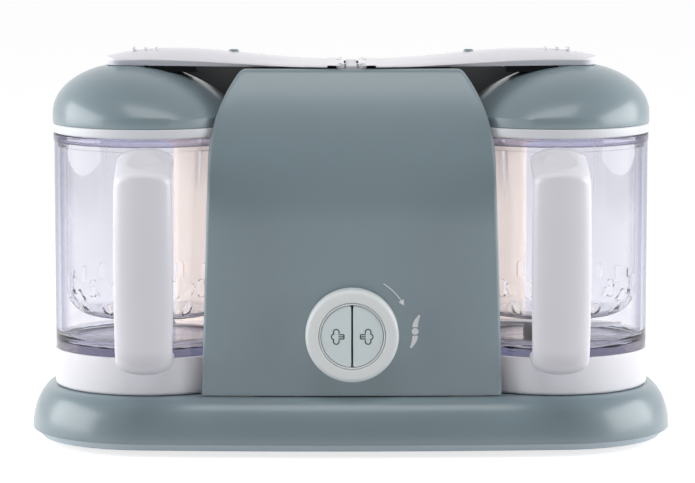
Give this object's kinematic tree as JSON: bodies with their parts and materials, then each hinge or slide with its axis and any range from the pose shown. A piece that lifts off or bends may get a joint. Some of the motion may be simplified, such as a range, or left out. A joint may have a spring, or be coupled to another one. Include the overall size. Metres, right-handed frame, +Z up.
{
  "type": "baby food maker",
  "caption": "Countertop steamer and blender for baby food: a column between clear bowls with strap handles, hinged domed lids, a flared base and a ring control on the front.",
  "frame": {"origin": "on the table, under the middle of the machine's bounding box", "axes": "+X to the right seen from the front, +Y towards the back, +Z up"},
  "size_m": [0.4, 0.23, 0.2468],
  "materials": {
    "body_grey": "satin moulded plastic",
    "pan_grey": "satin moulded plastic",
    "white_plastic": "glossy moulded plastic",
    "button_white": "satin moulded plastic",
    "pale_plastic": "satin moulded plastic",
    "clear_plastic": "clear polished copolyester",
    "black_plastic": "satin moulded plastic",
    "silicone": "matt silicone",
    "rubber": "matt",
    "steel": "brushed stainless",
    "motor_steel": "zinc plated",
    "brass": "sintered",
    "board": "solder-resist board"
  },
  "bodies": {
    "housing": {"base_shell": "body_grey", "front_panel": "body_grey", "top_deck": "black_plastic", "bottom_pan": "pan_grey", "rear_cover": "pale_plastic", "hinge_block": "white_plastic", "base_screws": "steel", "rubber_feet": "rubber", "cord_gland": "rubber", "motor_can": "motor_steel", "motor_bush": "brass", "drive_belt": "rubber", "drive_bearing": "brass", "knob_hub": "pale_plastic", "ring_spring": "steel", "switch_board": "board", "hinge_pin_left": "steel", "boiler_cup_left": "steel", "heating_element_left": "motor_steel", "button_spring_left": "steel", "hinge_pin_right": "steel", "boiler_cup_right": "steel", "heating_element_right": "motor_steel", "button_spring_right": "steel"},
    "left_lid": {"lid_arm_left": "white_plastic", "lid_dome_left": "body_grey", "lid_collar_left": "white_plastic", "lid_seal_left": "silicone", "lid_valve_left": "body_grey", "boiler_seal_left": "silicone"},
    "right_lid": {"lid_arm_right": "white_plastic", "lid_dome_right": "body_grey", "lid_collar_right": "white_plastic", "lid_seal_right": "silicone", "lid_valve_right": "body_grey", "boiler_seal_right": "silicone"},
    "left_bowl": {"bowl_left": "clear_plastic", "bowl_skirt_left": "white_plastic", "bowl_handle_left": "white_plastic", "steam_basket_left": "clear_plastic"},
    "right_bowl": {"bowl_right": "clear_plastic", "bowl_skirt_right": "white_plastic", "bowl_handle_right": "white_plastic", "steam_basket_right": "clear_plastic", "shaft_bush": "black_plastic"},
    "blade_drive": {"blade": "steel", "blade_shaft": "steel", "blade_hub": "black_plastic", "blade_nut": "steel", "bowl_coupling": "black_plastic", "drive_coupling": "black_plastic", "driven_pulley": "black_plastic"},
    "motor_rotor": {"motor_shaft": "steel", "drive_pulley": "black_plastic"},
    "control_ring": {"control_ring": "white_plastic"},
    "left_button": {"steam_button_left": "button_white"},
    "right_button": {"steam_button_right": "button_white"}
  },
  "joints": [
    {"name": "left_lid_hinge", "type": "hinge", "parent": "housing", "child": "left_lid", "pos_m": [-0.0068, -0.017, 0.2364], "axis": [0, 1, 0], "range_deg": [0, 75]},
    {"name": "right_lid_hinge", "type": "hinge", "parent": "housing", "child": "right_lid", "pos_m": [0.0068, -0.017, 0.2364], "axis": [0, -1, 0], "range_deg": [0, 75]},
    {"name": "left_bowl_twist", "type": "hinge", "parent": "housing", "child": "left_bowl", "pos_m": [-0.126, -0.016, 0.0363], "axis": [0, 0, 1], "range_deg": [-30, 0]},
    {"name": "right_bowl_twist", "type": "hinge", "parent": "housing", "child": "right_bowl", "pos_m": [0.126, -0.016, 0.0363], "axis": [0, 0, 1], "range_deg": [0, 30]},
    {"name": "blade_spin", "type": "hinge", "parent": "housing", "child": "blade_drive", "pos_m": [0.126, -0.016, 0.0363], "axis": [0, 0, 1], "continuous": true},
    {"name": "motor_spin", "type": "hinge", "parent": "housing", "child": "motor_rotor", "pos_m": [0, 0.03, 0.05], "axis": [0, 0, 1], "continuous": true},
    {"name": "control_ring_turn", "type": "hinge", "parent": "housing", "child": "control_ring", "pos_m": [0, -0.085, 0.0753], "axis": [0, 1, 0], "range_deg": [0, 40], "stiffness_Nm_per_rad": 0.05},
    {"name": "left_button_press", "type": "slide", "parent": "housing", "child": "left_button", "axis": [0, 1, 0], "range_m": [0, 0.002], "stiffness_N_per_m": 300, "deforming": ["button_spring_left"]},
    {"name": "right_button_press", "type": "slide", "parent": "housing", "child": "right_button", "axis": [0, 1, 0], "range_m": [0, 0.002], "stiffness_N_per_m": 300, "deforming": ["button_spring_right"]}
  ],
  "couplings": [
    {"joint": "motor_spin", "follows": "blade_spin", "ratio": 3}
  ]
}
